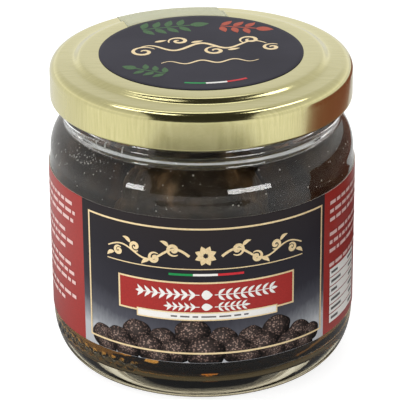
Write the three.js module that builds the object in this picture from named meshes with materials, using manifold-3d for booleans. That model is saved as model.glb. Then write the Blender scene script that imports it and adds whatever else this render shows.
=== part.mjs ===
// A small twist-off glass jar of whole black truffles in brine.
// Millimetres, +Z up, origin under the middle of the base, the label's front towards -Y.
// Pieces: the glass jar, the brine, six truffles, a wrap label, and the lid with its
// sealing ring, round sticker and seal strip. The lid sits closed on the glass thread.

import * as THREE from "three";
import { mergeVertices } from "three/addons/utils/BufferGeometryUtils.js";
import Module from "manifold-3d";

const wasm = await Module();
wasm.setup();

const degree = Math.PI / 180;
const facetCount = 48; // flats round every turned piece, so that nested walls stay parallel

// Glass jar
const bodyRadius = 35.4;
const wall = 2.3;
const bearingInner = 27.6; // the flat ring the jar stands on
const bearingOuter = 29.6;
const pushUp = 2.4; // hollow under the base
const heelHeight = 10.4;
const bodyTop = 47.5; // upper end of the straight label panel
const shoulderStart = 50.6;
const shoulderRadius = 35.05;
const shoulderCurve = 9.1;
const shoulderEnd = 49; // degrees of arc from the wall to the neck
const innerShoulderRise = 6.6; // of the same curve inside
const innerShoulderEnd = 55;
const neckRadius = 31.5;
const mouthRadius = 29.2;
const mouthFoot = 57.6; // where the straight mouth meets the inside of the shoulder
const neckRingRadius = 32.9;
const neckRingHeight = 60;
const rimHeight = 70.6;
const floorHeight = 4.7;
const floorCorner = 6.2; // rounding between the inside wall and the floor
const floorCornerRise = 6.6;

// Thread: four ridges that rise anticlockwise, with gaps that the lid's lugs drop through
const threadCount = 4;
const threadSweep = 68; // degrees
const threadRadius = 32.75;
const threadUnderside = 64.45; // at the low end of each ridge
const threadRise = 1.7; // over one sweep
const threadTipHeight = 0.95;
const threadRootHeight = 1.6;

// Lid, measured from its own lower edge
const lidSeat = 62.75; // height of the lid's lower edge when closed
const lidRadius = 34.7;
const lidPlate = 0.22; // tinplate
const lidPanelHeight = 10.15;
const lidRingHeight = 9.05; // the lower outer ring round the panel
const lidCorner = 2.2;
const panelRadius = 27.3;
const stepFoot = 29.7;
const hemRadius = 0.8; // rolled lower edge
const hemTurn = 250; // degrees that the hem rolls through
const lugRadius = 31.95;
const lugSweep = 12; // degrees
const lugStart = 2; // degrees past the low end of each ridge
const lugClearance = 0.25; // under the ridge
const sealBottom = 7.9;
const sealInner = 29.8;
const sealOuter = 33.1;

// Paper and film
const glueGap = 0.03;
const labelBottom = 11.5;
const labelTop = 47.3;
const labelThickness = 0.1;
const labelGapFacets = 5; // facets left bare at the back
const stickerRadius = 23.4;
const stickerThickness = 0.12;
const stripWidth = 24.5;
const stripThickness = 0.08;
const stripTurn = 15.1; // degrees from straight back, towards -X

// Contents
const brineLevel = 56.4;
const brineGap = 0.3; // between the liquid's solid and the glass
const brineShoulderRise = 6.5; // of the liquid's shoulder, inside the glass one
const truffleGap = 0.9; // between each truffle and the coarser hollow in the liquid
const truffleDetail = 5;
const hollowDetail = 2;
const wartHeight = 1.3;
const wartCount = 62;
const dentCount = 5;
const truffles = [
  { name: "truffle_1", radius: 15.7, place: [-16.5, -7.0, 20.4], squash: [1, 0.96, 0.98], seed: 11 },
  { name: "truffle_2", radius: 15.5, place: [14.8, -11.1, 19.9], squash: [0.98, 1, 0.97], seed: 23 },
  { name: "truffle_3", radius: 15.4, place: [4.3, 18.6, 20.2], squash: [1, 0.97, 0.98], seed: 37 },
  { name: "truffle_4", radius: 16.0, place: [-1.8, -17.6, 42.1], squash: [1, 0.98, 0.9], seed: 41 },
  { name: "truffle_5", radius: 15.5, place: [16.8, 6.9, 42.6], squash: [0.98, 1, 0.92], seed: 59 },
  { name: "truffle_6", radius: 15.3, place: [-14.1, 12.0, 40.7], squash: [1, 0.98, 0.9], seed: 67 },
];

const glassMaterial = new THREE.MeshStandardMaterial({
  color: 0xdfeae4, roughness: 0.03, metalness: 0, transparent: true, opacity: 0.35,
});
const lidMaterial = new THREE.MeshStandardMaterial({ color: 0xc9c07c, roughness: 0.3, metalness: 0.9 });
const sealMaterial = new THREE.MeshStandardMaterial({ color: 0xe6dfc8, roughness: 0.6, metalness: 0 });
const stickerMaterial = new THREE.MeshStandardMaterial({ color: 0x3b3944, roughness: 0.45, metalness: 0 });
const stripMaterial = new THREE.MeshStandardMaterial({
  color: 0xd3d6c0, roughness: 0.35, metalness: 0, transparent: true, opacity: 0.5,
});
const labelMaterial = new THREE.MeshStandardMaterial({ color: 0x201e25, roughness: 0.4, metalness: 0 });
const brineMaterial = new THREE.MeshStandardMaterial({
  color: 0xb87a3a, roughness: 0.02, metalness: 0, transparent: true, opacity: 0.45,
});
const truffleMaterial = new THREE.MeshStandardMaterial({ color: 0x2a211b, roughness: 0.85, metalness: 0 });

// Points of an elliptical arc in the (radius, height) plane, both ends included
function arc(centreRadius, centreHeight, radiusAcross, radiusUp, from, to, steps) {
  const points = [];
  for (let step = 0; step <= steps; step++) {
    const angle = (from + ((to - from) * step) / steps) * degree;
    points.push([
      centreRadius + radiusAcross * Math.cos(angle),
      centreHeight + radiusUp * Math.sin(angle),
    ]);
  }
  return points;
}

// A closed three.js mesh as a solid, with shared points merged and its faces pointing out
function toSolid(geometry) {
  const bare = new THREE.BufferGeometry();
  bare.setAttribute("position", geometry.getAttribute("position").clone());
  if (geometry.index) bare.setIndex(geometry.index.clone());
  const merged = mergeVertices(bare, 1e-4);
  const index = merged.index.array;
  const corners = [];
  for (let i = 0; i < index.length; i += 3) {
    const [a, b, c] = [index[i], index[i + 1], index[i + 2]];
    if (a !== b && b !== c && c !== a) corners.push(a, b, c);
  }
  const make = (triangles) =>
    new wasm.Manifold(new wasm.Mesh({
      numProp: 3,
      vertProperties: new Float32Array(merged.getAttribute("position").array),
      triVerts: new Uint32Array(triangles),
    }));
  const solid = make(corners);
  return solid.volume() > 0 ? solid : make(corners.reverse());
}

function toMesh(name, solid, material) {
  const { vertProperties, triVerts } = solid.getMesh();
  const geometry = new THREE.BufferGeometry();
  geometry.setAttribute("position", new THREE.BufferAttribute(vertProperties, 3));
  geometry.setIndex(new THREE.BufferAttribute(triVerts, 1));
  geometry.computeVertexNormals();
  const mesh = new THREE.Mesh(geometry, material);
  mesh.name = name;
  return mesh;
}

// A profile of [radius, height] points turned round Z. It closes on itself or ends on the axis.
function turned(points) {
  const closed = [...points];
  const onAxis = points[0][0] === 0 && points[points.length - 1][0] === 0;
  if (!onAxis) closed.push(points[0]);
  const outline = closed.map(([radius, height]) => new THREE.Vector2(radius, height));
  const geometry = new THREE.LatheGeometry(outline, facetCount);
  geometry.rotateX(Math.PI / 2);
  return toSolid(geometry);
}

// A bar of changing section that runs part of the way round Z.
// section(share) gives its [radius, height] corners at a share of the way from start to end.
function swept(start, sweep, steps, section) {
  const rings = [];
  for (let step = 0; step <= steps; step++) {
    const angle = (start + (sweep * step) / steps) * degree;
    rings.push(section(step / steps).map(([radius, height]) =>
      [radius * Math.cos(angle), radius * Math.sin(angle), height]));
  }
  const sides = rings[0].length;
  const index = [];
  for (let step = 0; step < steps; step++) {
    for (let side = 0; side < sides; side++) {
      const a = step * sides + side;
      const b = step * sides + ((side + 1) % sides);
      index.push(a, b, b + sides, a, b + sides, a + sides);
    }
  }
  const last = steps * sides;
  for (let side = 1; side < sides - 1; side++) {
    index.push(0, side + 1, side);
    index.push(last, last + side, last + side + 1);
  }
  const geometry = new THREE.BufferGeometry();
  geometry.setAttribute("position", new THREE.Float32BufferAttribute(rings.flat(2), 3));
  geometry.setIndex(index);
  return toSolid(geometry);
}

// The same profile moved out by a distance, along the mean normal of its neighbours
function offset(points, distance) {
  return points.map((point, i) => {
    const before = points[Math.max(i - 1, 0)];
    const after = points[Math.min(i + 1, points.length - 1)];
    const across = after[0] - before[0];
    const up = after[1] - before[1];
    const length = Math.hypot(across, up);
    return [point[0] - (up / length) * distance, point[1] + (across / length) * distance];
  });
}

// Height of a ridge's underside at a share of its sweep
function threadHeight(share) {
  return threadUnderside + threadRise * share;
}

function threadRidge(number) {
  const sunk = neckRadius - 0.3;
  const ridge = (share) => {
    const tapered = share === 0 || share === 1;
    const tip = tapered ? neckRadius + 0.2 : threadRadius;
    const low = threadHeight(share);
    return [[sunk, low], [tip, low + 0.05], [tip, low + threadTipHeight], [sunk, low + threadRootHeight]];
  };
  return swept((number * 360) / threadCount, threadSweep, 12, ridge);
}

function jarGlass() {
  const arcCentre = shoulderRadius - shoulderCurve;
  const inner = bodyRadius - wall;
  const outside = [
    [0, pushUp], [12, pushUp - 0.2], [22, pushUp - 1.1], [26.6, 0.35], [bearingInner, 0],
    ...arc(bearingOuter, heelHeight, bodyRadius - bearingOuter, heelHeight, -90, 0, 5),
    [bodyRadius, bodyTop], [shoulderRadius + 0.05, bodyTop + 1.7],
    ...arc(arcCentre, shoulderStart, shoulderCurve, shoulderCurve, 0, shoulderEnd, 5),
    [neckRadius + 0.2, neckRingHeight - 1.7],
    [neckRingRadius, neckRingHeight - 0.5], [neckRingRadius, neckRingHeight + 0.4],
    [neckRadius, neckRingHeight + 1.3], [neckRadius, rimHeight - 1.2],
    [neckRadius - 0.5, rimHeight - 0.2], [neckRadius - 1, rimHeight],
  ];
  const inside = [
    [mouthRadius + 0.6, rimHeight], [mouthRadius, rimHeight - 0.8], [mouthRadius, mouthFoot],
    ...arc(arcCentre, shoulderStart, inner - arcCentre, innerShoulderRise, innerShoulderEnd, 0, 3),
    [inner, heelHeight + 2.5],
    ...arc(inner - floorCorner, floorHeight + floorCornerRise, floorCorner, floorCornerRise, -20, -90, 3),
    [12, floorHeight + 0.9], [0, floorHeight + 1.1],
  ];
  let glass = turned([...outside, ...inside]);
  for (let number = 0; number < threadCount; number++) glass = glass.add(threadRidge(number));
  return toMesh("jar_glass", glass, glassMaterial);
}

// The lid's outer face from the panel's middle, over the step and the corner, down to the hem
function lidOutside() {
  return [
    [0, lidPanelHeight], [panelRadius, lidPanelHeight], [panelRadius + 0.6, lidPanelHeight - 0.2],
    [stepFoot - 0.6, lidRingHeight + 0.15], [stepFoot, lidRingHeight],
    ...arc(lidRadius - lidCorner, lidRingHeight - lidCorner, lidCorner, lidCorner, 90, 0, 4),
  ];
}

function hem(radius, from, to, steps) {
  return arc(lidRadius - hemRadius, hemRadius, radius, radius, from, to, steps);
}

// A lug turned in from the hem. Its top follows the ridge above it.
function lidLug(number) {
  const start = (number * 360) / threadCount + lugStart;
  const lug = (share) => {
    const underThread = threadHeight((lugStart + lugSweep * share) / threadSweep) - lidSeat;
    const top = underThread - lugClearance;
    const root = lidRadius - hemRadius - 0.35;
    return [[root, 0.3], [lugRadius, 0.45], [lugRadius, top], [root, top]];
  };
  return swept(start, lugSweep, 3, lug);
}

function lidShell() {
  const inside = [
    [lidRadius - lidPlate, lidRingHeight - lidCorner],
    ...arc(lidRadius - lidCorner, lidRingHeight - lidCorner,
      lidCorner - lidPlate, lidCorner - lidPlate, 0, 90, 4).slice(1),
    [stepFoot - 0.1, lidRingHeight - lidPlate], [stepFoot - 0.75, lidRingHeight + 0.15 - lidPlate],
    [panelRadius + 0.45, lidPanelHeight - 0.2 - lidPlate], [panelRadius - 0.1, lidPanelHeight - lidPlate],
    [0, lidPanelHeight - lidPlate],
  ];
  let shell = turned([
    ...lidOutside(), ...hem(hemRadius, 0, -hemTurn, 6),
    ...hem(hemRadius - lidPlate, -hemTurn, 0, 5), ...inside,
  ]);
  for (let number = 0; number < threadCount; number++) shell = shell.add(lidLug(number));
  return toMesh("lid_shell", shell, lidMaterial);
}

// The soft ring moulded into the lid's outer ring, which the glass rim presses on
function sealingRing() {
  const top = lidRingHeight - lidPlate - glueGap;
  const ring = turned([
    [sealInner, sealBottom], [sealOuter, sealBottom], [sealOuter, top - 0.5],
    [sealOuter - 0.6, top], [sealInner, top],
  ]);
  return toMesh("sealing_ring", ring, sealMaterial);
}

function lidSticker() {
  const low = lidPanelHeight + glueGap;
  const disc = turned([[0, low], [stickerRadius, low],
    [stickerRadius, low + stickerThickness], [0, low + stickerThickness]]);
  return toMesh("lid_sticker", disc, stickerMaterial);
}

// Clear film from the sticker's edge over the back of the lid and down its skirt
function sealStrip() {
  const start = [stickerRadius + 0.3, lidPanelHeight];
  const path = [start, ...lidOutside().slice(1), [lidRadius, hemRadius]];
  const shell = turned([
    ...offset(path, glueGap), ...offset(path, glueGap + stripThickness).reverse(),
  ]);
  const reach = lidRadius + 5;
  const block = new THREE.BoxGeometry(stripWidth, reach, 3 * lidPanelHeight);
  block.translate(0, reach / 2, 0);
  block.rotateZ(stripTurn * degree);
  return toMesh("seal_strip", shell.intersect(toSolid(block)), stripMaterial);
}

// Paper wound round the straight wall, its bare gap centred at the back
function wrapLabel() {
  const inner = bodyRadius + glueGap;
  const outer = inner + labelThickness;
  const gap = (labelGapFacets * 360) / facetCount;
  const facets = facetCount - labelGapFacets;
  const halfFacet = 180 / facetCount; // so that the label's folds fall on the glass's own edges
  const section = () => [[inner, labelBottom], [outer, labelBottom], [outer, labelTop], [inner, labelTop]];
  const paper = swept(90 + gap / 2 + (labelGapFacets % 2 ? halfFacet : 0), 360 - gap, facets, section);
  return toMesh("wrap_label", paper, labelMaterial);
}

// Repeatable random numbers from 0 to 1
function seededRandom(seed) {
  let state = seed;
  return () => {
    state = (state + 0x6d2b79f5) | 0;
    let mixed = Math.imul(state ^ (state >>> 15), 1 | state);
    mixed = (mixed + Math.imul(mixed ^ (mixed >>> 7), 61 | mixed)) ^ mixed;
    return ((mixed ^ (mixed >>> 14)) >>> 0) / 4294967296;
  };
}

// Directions spread evenly over a ball, each pushed a little out of line
function spreadDirections(count, jitter, random) {
  const golden = Math.PI * (3 - Math.sqrt(5));
  const directions = [];
  for (let i = 0; i < count; i++) {
    const z = 1 - (2 * (i + 0.5)) / count;
    const across = Math.sqrt(1 - z * z);
    const push = () => (random() - 0.5) * jitter;
    directions.push(new THREE.Vector3(
      across * Math.cos(golden * i) + push(), across * Math.sin(golden * i) + push(), z + push(),
    ).normalize());
  }
  return directions;
}

// A knobbly ball: a few broad dents, and low pointed warts all over
function truffleForm(truffle, detail, grown) {
  const random = seededRandom(truffle.seed);
  const dents = spreadDirections(dentCount, 0.9, random).map((direction) => (
    { direction, depth: truffle.radius * (0.06 + 0.07 * random()), reach: 0.45 + 0.25 * random() }));
  const warts = spreadDirections(wartCount, 0.16, random);
  const wartReach = 2.1 / Math.sqrt(wartCount);
  const geometry = new THREE.IcosahedronGeometry(1, detail);
  const position = geometry.getAttribute("position");
  const point = new THREE.Vector3();
  for (let i = 0; i < position.count; i++) {
    point.fromBufferAttribute(position, i).normalize();
    let radius = truffle.radius - wartHeight;
    for (const dent of dents) {
      const away = point.angleTo(dent.direction) / dent.reach;
      radius -= dent.depth * Math.exp(-away * away);
    }
    if (grown) {
      radius += wartHeight + grown;
    } else {
      const nearest = Math.min(...warts.map((wart) => point.angleTo(wart)));
      radius += wartHeight * Math.max(0, 1 - nearest / wartReach);
    }
    point.multiplyScalar(radius);
    position.setXYZ(i, point.x * truffle.squash[0], point.y * truffle.squash[1],
      point.z * truffle.squash[2]);
  }
  return geometry;
}

function truffle(settings) {
  const mesh = toMesh(settings.name, toSolid(truffleForm(settings, truffleDetail, 0)), truffleMaterial);
  mesh.position.set(...settings.place);
  return mesh;
}

// The liquid up to its level, with a hollow round each truffle. The hollows run into each other
// and the upper truffles stand out of the liquid, so every hollow is open at the top.
function brine() {
  const inner = bodyRadius - wall - brineGap;
  const arcCentre = shoulderRadius - shoulderCurve;
  const brineArc = Math.asin((brineLevel - shoulderStart) / brineShoulderRise) / degree;
  let liquid = turned([
    [0, floorHeight + 1.5], [14, floorHeight + 1.2],
    ...arc(inner - floorCorner, floorHeight + 6.9, floorCorner, 6.5, -90, 0, 3),
    ...arc(arcCentre, shoulderStart, inner - arcCentre, brineShoulderRise, 0, brineArc, 3),
    [0, brineLevel],
  ]);
  for (const settings of truffles) {
    const hollow = truffleForm(settings, hollowDetail, truffleGap);
    hollow.translate(...settings.place);
    liquid = liquid.subtract(toSolid(hollow));
  }
  return toMesh("brine", liquid, brineMaterial);
}

const closure = new THREE.Group();
closure.position.z = lidSeat;
closure.add(lidShell(), sealingRing(), lidSticker(), sealStrip());

const contents = new THREE.Group();
contents.add(brine(), ...truffles.map(truffle));

const jar = new THREE.Group();
jar.add(jarGlass(), wrapLabel(), contents, closure);

export default jar;
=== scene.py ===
import math
import random
import bpy
import bmesh
import numpy as np
from mathutils import Matrix, Vector


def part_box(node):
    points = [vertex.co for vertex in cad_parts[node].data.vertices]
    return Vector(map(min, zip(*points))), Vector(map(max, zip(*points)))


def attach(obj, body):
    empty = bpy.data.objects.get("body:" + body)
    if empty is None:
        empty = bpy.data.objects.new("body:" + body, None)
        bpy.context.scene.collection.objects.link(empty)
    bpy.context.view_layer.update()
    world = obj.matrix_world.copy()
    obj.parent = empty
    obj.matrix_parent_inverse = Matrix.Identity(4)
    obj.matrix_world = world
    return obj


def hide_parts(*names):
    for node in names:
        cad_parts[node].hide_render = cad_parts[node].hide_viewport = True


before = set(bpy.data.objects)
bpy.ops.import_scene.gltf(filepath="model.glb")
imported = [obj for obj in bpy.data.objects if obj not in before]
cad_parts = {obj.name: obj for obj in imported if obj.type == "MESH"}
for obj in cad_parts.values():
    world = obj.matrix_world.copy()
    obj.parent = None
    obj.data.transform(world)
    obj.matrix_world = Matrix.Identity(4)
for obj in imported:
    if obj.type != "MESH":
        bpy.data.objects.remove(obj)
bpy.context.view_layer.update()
mm = 0.001
roundSides = 192  # sides of every turned piece in the picture
print("frame loaded:", len(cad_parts), "nodes")


# Small tools for meshes and materials

def addToScene(name, data):
    made = bpy.data.objects.new(name, data)
    bpy.context.scene.collection.objects.link(made)
    return made


def addPiece(name, points, faces, materials, faceSlots=None, smooth=True):
    mesh = bpy.data.meshes.new(name)
    mesh.from_pydata([tuple(point) for point in points], [], faces)
    for surface in materials:
        mesh.materials.append(surface)
    if faceSlots is not None:
        mesh.polygons.foreach_set("material_index", faceSlots)
    mesh.polygons.foreach_set("use_smooth", [smooth] * len(mesh.polygons))
    mesh.update()
    return addToScene(name, mesh)


def faceOutwards(piece):
    shape = bmesh.new()
    shape.from_mesh(piece.data)
    bmesh.ops.recalc_face_normals(shape, faces=shape.faces)
    shape.to_mesh(piece.data)
    shape.free()


def roundPoint(radius, turn, height):
    # mm and radians in, metres out
    return radius * mm * math.cos(turn), radius * mm * math.sin(turn), height * mm


def arcPoints(centreRadius, centreHeight, across, up, start, end, steps):
    angles = [math.radians(start + (end - start) * step / steps) for step in range(steps + 1)]
    return [(centreRadius + across * math.cos(a), centreHeight + up * math.sin(a)) for a in angles]


def offset(spot, reach, turn):
    return spot[0] + reach * math.cos(turn), spot[1] + reach * math.sin(turn)


def heading(path, i):
    # the direction of the path at its point i, with length 1
    before, after = path[max(i - 1, 0)], path[min(i + 1, len(path) - 1)]
    dx, dy = after[0] - before[0], after[1] - before[1]
    length = math.hypot(dx, dy) or 1
    return dx / length, dy / length


def gridFaces(rows, columns):
    # four-sided faces over points that were added row by row
    faces = []
    for row in range(rows - 1):
        for a in range(row * columns, (row + 1) * columns - 1):
            faces.append([a, a + columns, a + columns + 1, a + 1])
    return faces


def ribbonFaces(count):
    # the same for a band of point pairs, wound the other way
    return [[a - 2, a - 1, a + 1, a] for a in range(2, 2 * count, 2)]


def softened(points, rounds):
    for _ in range(rounds):  # corner cutting, the two ends stay
        cut = [points[0]]
        for (r0, z0), (r1, z1) in zip(points, points[1:]):
            cut.append((0.75 * r0 + 0.25 * r1, 0.75 * z0 + 0.25 * z1))
            cut.append((0.25 * r0 + 0.75 * r1, 0.25 * z0 + 0.75 * z1))
        points = cut + [points[-1]]
    return points


def turnedPiece(name, profile, materials, bump=None, sides=roundSides, closed=True):
    # profile in mm; it ends on the axis, or closes on itself unless closed is False
    onAxis = profile[0][0] == 0 and profile[-1][0] == 0
    points, rings = [], []
    for radius, height in profile:
        if radius == 0:
            rings.append([len(points)] * sides)
            points.append((0, 0, height * mm))
            continue
        ring = []
        for side in range(sides):
            turn = 2 * math.pi * side / sides
            reach = radius + (bump(math.degrees(turn), radius, height) if bump else 0)
            ring.append(len(points))
            points.append(roundPoint(reach, turn, height))
        rings.append(ring)
    if closed and not onAxis:
        rings.append(rings[0])
    faces = []
    for low, high in zip(rings, rings[1:]):
        for side in range(sides):
            nextSide = (side + 1) % sides
            corners = [low[side], low[nextSide], high[nextSide], high[side]]
            faces.append(list(dict.fromkeys(corners)))
    piece = addPiece(name, points, [face for face in faces if len(face) > 2], materials)
    faceOutwards(piece)
    return piece


def shaderSocket(made, name):
    return made.node_tree.nodes["Principled BSDF"].inputs[name]


def surface(name, color, roughness=0.5, metallic=0.0, **sockets):
    made = bpy.data.materials.new(name)
    made.use_nodes = True
    sockets.update(Base_Color=(*color, 1), Roughness=roughness, Metallic=metallic)
    for socket, value in sockets.items():
        shaderSocket(made, socket.replace("_", " ")).default_value = value
    return made


def node(made, kind, **settings):
    new = made.node_tree.nodes.new(kind)
    for key, value in settings.items():
        if key in new.inputs:
            new.inputs[key].default_value = value
        else:
            setattr(new, key, value)
    return new


def link(made, source, target):
    made.node_tree.links.new(source, target)


def plainSpace(made):
    return node(made, "ShaderNodeTexCoord").outputs["Object"]


def objectSpace(made, scale=(1, 1, 1)):
    mapping = node(made, "ShaderNodeMapping", Scale=scale)
    link(made, plainSpace(made), mapping.inputs["Vector"])
    return mapping.outputs["Vector"]


def axes(made, vector):
    parts = node(made, "ShaderNodeSeparateXYZ")
    link(made, vector, parts.inputs["Vector"])
    return parts.outputs["X"], parts.outputs["Y"], parts.outputs["Z"]


def lengthOf(made, vector):
    reach = node(made, "ShaderNodeVectorMath", operation="LENGTH")
    link(made, vector, reach.inputs[0])
    return reach.outputs["Value"]


def maths(made, operation, *values):
    # each value is a number or the output of another node
    step = node(made, "ShaderNodeMath", operation=operation)
    for socket, value in zip(step.inputs, values):
        if isinstance(value, (int, float)):
            socket.default_value = value
        else:
            link(made, value, socket)
    return step.outputs[0]


def spread(made, value, source=(0, 1), target=(0, 1)):
    field = node(made, "ShaderNodeMapRange")
    for socket, limit in zip(("From Min", "From Max", "To Min", "To Max"), (*source, *target)):
        field.inputs[socket].default_value = limit
    link(made, value, field.inputs["Value"])
    return field.outputs["Result"]


def noiseField(made, vector, scale, detail=3.0, roughness=0.5):
    field = node(made, "ShaderNodeTexNoise", Scale=scale, Detail=detail, Roughness=roughness)
    link(made, vector, field.inputs["Vector"])
    return field.outputs["Fac"]


def ramp(made, value, stops):
    colors = node(made, "ShaderNodeValToRGB")
    band = colors.color_ramp
    while len(band.elements) < len(stops):
        band.elements.new(0.5)
    for element, (position, color) in zip(band.elements, stops):
        element.position = position
        element.color = (*color, 1)
    link(made, value, colors.inputs["Fac"])
    return colors.outputs["Color"]


def addBump(made, height, distance, strength=1.0):
    raised = node(made, "ShaderNodeBump", Strength=strength, Distance=distance)
    link(made, height, raised.inputs["Height"])
    link(made, raised.outputs["Normal"], shaderSocket(made, "Normal"))


def colorBy(made, value, stops):
    link(made, ramp(made, value, stops), shaderSocket(made, "Base Color"))


def place(piece, body, slot, *nodes):
    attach(piece, body)
    if nodes:
        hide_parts(*nodes)
    return piece


# Camera at the photo's place, fitted to the jar's outline in its 400 pixel frame

cameraSetup = {  # in metres, degrees and pixels; the sensor in mm
    "distance": 0.5687, "elevation": 24.8, "roll": 0.45, "lookAt": (0, 0, 0.033),
    "framePixels": 400, "focalPixels": 2420.5, "jarRight": 2.2, "jarDown": 10.6, "sensor": 36,
}


def aimAt(seen, aim, roll):
    turn = (aim - seen.location).to_track_quat("-Z", "Y")
    seen.rotation_mode = "QUATERNION"
    seen.rotation_quaternion = turn @ Matrix.Rotation(math.radians(roll), 4, "Z").to_quaternion()


def makeCamera(setup):
    lens = setup["focalPixels"] / setup["framePixels"] * setup["sensor"]
    data = bpy.data.cameras.new("photoCamera")
    data.sensor_width = setup["sensor"]
    data.lens = lens
    data.clip_start = 0.01
    camera = addToScene("photoCamera", data)
    rise = math.radians(setup["elevation"])
    back = Vector((0, -math.cos(rise), math.sin(rise)))
    up = Vector((0, math.sin(rise), math.cos(rise)))
    perPixel = setup["distance"] / setup["focalPixels"]
    target = Vector(setup["lookAt"])
    aim = target + up * setup["jarDown"] * perPixel - Vector((1, 0, 0)) * setup["jarRight"] * perPixel
    camera.location = target + back * setup["distance"]
    aimAt(camera, aim, -setup["roll"])
    bpy.context.scene.camera = camera


makeCamera(cameraSetup)


# Glass jar: smooth, with its push-up, heel, shoulder, neck ring and thread

jarShape = {  # in mm and degrees
    "body": 35.4, "wall": 2.3, "bearing": (27.6, 29.6), "pushUp": 2.4, "heel": 10.4, "bodyTop": 47.5,
    "shoulder": 35.05, "shoulderStart": 50.6, "shoulderCurve": 9.1, "shoulderEnd": 49,
    "innerRise": 6.6, "innerEnd": 55, "mouthFoot": 57.6, "floor": 4.7, "floorCorner": 6.2, "floorRise": 6.6,
    "neck": 31.5, "mouth": 29.2, "neckRing": 32.2, "neckRingHeight": 60, "rim": 70.6,
    "thread": 32.75, "threadLow": 64.45, "threadRise": 1.7, "threadSweep": 68, "threadCount": 4,
    "threadFrom": 63.4, "threadMiddle": 0.75, "threadHalf": 0.95, "threadEnds": 0.05, "threadSteep": 2.2,
    "dotStart": 197, "dotStep": 5, "dotCount": 10, "dotHeight": 8.2, "dotSize": 0.85, "dotRise": 0.35,
    "innerReflection": 0.05, "rippleScale": 45, "rippleDepth": 0.0003, "clearFrom": 0.012,
    # thick glass looks olive at the foot and clear further up
    "footTint": [(0.0, (0.42, 0.36, 0.23)), (0.5, (0.74, 0.69, 0.52)), (1.0, (0.98, 0.99, 0.98))],
}


def jarOutside(s):
    inFoot, outFoot = s["bearing"]
    curve, ring = s["shoulderCurve"], s["neckRingHeight"]
    return [
        (0, s["pushUp"]), (12, s["pushUp"] - 0.2), (22, s["pushUp"] - 1.1), (26.6, 0.35), (inFoot, 0),
        *arcPoints(outFoot, s["heel"], s["body"] - outFoot, s["heel"], -90, 0, 14),
        (s["body"], 20), (s["body"], s["bodyTop"] - 0.4), (s["shoulder"] + 0.05, s["bodyTop"] + 1.7),
        *arcPoints(s["shoulder"] - curve, s["shoulderStart"], curve, curve, 0, s["shoulderEnd"], 12),
        (s["neck"] + 0.2, ring - 1.7), (s["neckRing"], ring - 0.5), (s["neckRing"], ring + 0.4),
        (s["neck"], ring + 1.3),
        *[(s["neck"], 63 + 0.3 * step) for step in range(21)],
        (s["neck"] - 0.5, s["rim"] - 0.2), (s["neck"] - 1, s["rim"]),
    ]


def jarInside(s):
    inner = s["body"] - s["wall"]
    centre = s["shoulder"] - s["shoulderCurve"]
    return [
        (s["mouth"] + 0.6, s["rim"]), (s["mouth"], s["rim"] - 0.8), (s["mouth"], 64),
        (s["mouth"], s["mouthFoot"]),
        *arcPoints(centre, s["shoulderStart"], inner - centre, s["innerRise"], s["innerEnd"], 0, 10),
        (inner, 30), (inner, s["heel"] + 2.5),
        *arcPoints(inner - s["floorCorner"], s["floor"] + s["floorRise"], s["floorCorner"],
                   s["floorRise"], -10, -90, 9),
        (12, s["floor"] + 0.9), (0, s["floor"] + 1.1),
    ]


def threadBump(turn, radius, height):
    s = jarShape
    bump = 0.0
    if abs(radius - s["neck"]) < 0.15 and height > s["threadFrom"]:
        share = (turn % (360 / s["threadCount"])) / s["threadSweep"]
        if share < 1:
            middle = s["threadLow"] + s["threadRise"] * share + s["threadMiddle"]
            away = abs(height - middle) / s["threadHalf"]
            ends = min(1, share / s["threadEnds"], (1 - share) / s["threadEnds"])
            bump = (s["thread"] - s["neck"]) * ends * max(0, min(1, s["threadSteep"] * (1 - away)))
    if radius > s["bearing"][1] and abs(height - s["dotHeight"]) < 1.2:
        for dot in range(s["dotCount"]):  # a plain row of moulded dots on the heel
            across = math.radians(turn - s["dotStart"] - s["dotStep"] * dot) * radius
            away = math.hypot(across, height - s["dotHeight"]) / s["dotSize"]
            bump += s["dotRise"] * max(0, 1 - away * away)
    return bump


def glassSurface(name, reflection, s):
    made = surface(name, s["footTint"][-1][1], roughness=0.0, IOR=1.5, Transmission_Weight=1.0,
                   Specular_Tint=(reflection, reflection, reflection, 1))
    space = objectSpace(made)
    height = spread(made, axes(made, space)[2], (0, s["clearFrom"]))
    colorBy(made, height, s["footTint"])
    ripple = noiseField(made, space, s["rippleScale"], 1.0)  # the slow ripple of pressed glass
    addBump(made, ripple, s["rippleDepth"], 0.3)
    return made


def makeJar(s):
    outside, inside = softened(jarOutside(s), 1), softened(jarInside(s), 1)
    made = [glassSurface("clearGlass", 1.0, s), glassSurface("innerGlass", s["innerReflection"], s)]
    piece = turnedPiece("jarGlass", outside + inside, made, bump=threadBump, sides=360)
    reach = s["body"] - s["wall"] + 0.1
    for face in piece.data.polygons:  # the wet wall and floor inside hardly reflect
        away = math.hypot(face.center.x, face.center.y) / mm
        height = face.center.z / mm
        faceIn = face.normal.x * face.center.x + face.normal.y * face.center.y < 0
        inFloor = height < s["heel"] + 2.5 and face.normal.z > 0.5 and away < reach
        if height > s["floor"] and (faceIn or inFloor):
            face.material_index = 1
    return piece


jar = place(makeJar(jarShape), "jar", "clear_glass", "jar_glass")
print("glass made")


# Brine and truffles

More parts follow.
